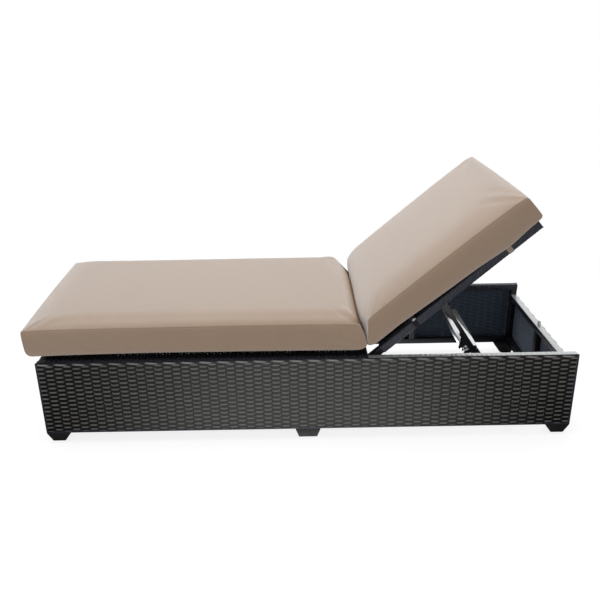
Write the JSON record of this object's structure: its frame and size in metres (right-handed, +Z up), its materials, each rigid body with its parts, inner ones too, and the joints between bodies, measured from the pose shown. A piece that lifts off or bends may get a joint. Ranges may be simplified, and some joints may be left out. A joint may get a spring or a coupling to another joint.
{
  "type": "adjustable wicker chaise lounge",
  "caption": "Outdoor chaise lounge: a woven box base on block feet, a reclining woven backrest propped by notched stays, and box cushions on seat and back.",
  "frame": {"origin": "middle of the outline's length and width, on the ground under the feet", "axes": "+X towards the head end, +Y towards the far long side, +Z up"},
  "size_m": [2.0425, 0.77, 0.9534],
  "materials": {
    "frame_tube": "dark powder coat",
    "wicker": "dark flat resin strands, glossy",
    "deck_wicker": "near black resin strands, glossy",
    "foot_block": "matte charcoal",
    "black_plastic": "matte black",
    "zinc_steel": "bright zinc",
    "bolt_steel": "plated steel",
    "bush_plastic": "pale nylon",
    "rubber": "pale soft rubber",
    "stay_steel": "dark powder coat",
    "cushion_fabric": "tan woven cloth",
    "strap_fabric": "tan tape"
  },
  "bodies": {
    "base": {"side_top_rails": "frame_tube", "side_bottom_rails": "frame_tube", "side_posts": "frame_tube", "end_rails": "frame_tube", "end_posts": "frame_tube", "near_side_weave": "wicker", "far_side_weave": "wicker", "foot_end_weave": "wicker", "head_end_weave": "wicker", "deck_bearers": "frame_tube", "deck_cross_rails": "frame_tube", "seat_deck_weave": "deck_wicker", "corner_feet": "foot_block", "middle_feet": "foot_block", "foot_glides": "black_plastic", "foot_screws": "bolt_steel", "catch_bar": "zinc_steel", "catch_pins": "zinc_steel", "catch_legs": "stay_steel", "catch_cross_rail": "frame_tube", "head_buffer": "rubber", "hinge_bolts": "bolt_steel", "hinge_nuts": "bolt_steel", "hinge_spacers": "black_plastic", "seat_cushion": "cushion_fabric"},
    "backrest": {"back_side_rails": "frame_tube", "back_rail_wraps": "deck_wicker", "back_cross_rails": "frame_tube", "back_top_rail": "frame_tube", "back_top_wrap": "deck_wicker", "back_deck_weave": "deck_wicker", "rail_end_plugs": "black_plastic", "hinge_bushes": "bush_plastic", "stay_lugs": "stay_steel", "stay_rod": "bolt_steel", "stay_rod_caps": "black_plastic", "back_cushion": "cushion_fabric", "upper_straps": "strap_fabric", "lower_straps": "strap_fabric"},
    "stays": {"near_stay": "stay_steel", "far_stay": "stay_steel", "stay_tube": "stay_steel"}
  },
  "joints": [
    {"name": "back_recline", "type": "hinge", "parent": "base", "child": "backrest", "pos_m": [0.2642, 0, 0.3295], "axis": [0, 1, 0], "range_deg": [-13.6, 41.4]},
    {"name": "stays_fold", "type": "hinge", "parent": "backrest", "child": "stays", "pos_m": [0.52672, 0, 0.51562], "axis": [0, 1, 0], "range_deg": [-70.4, 23.2]}
  ],
  "couplings": [
    {"joint": "stays_fold", "follows": "back_recline", "ratio": -1.7}
  ]
}
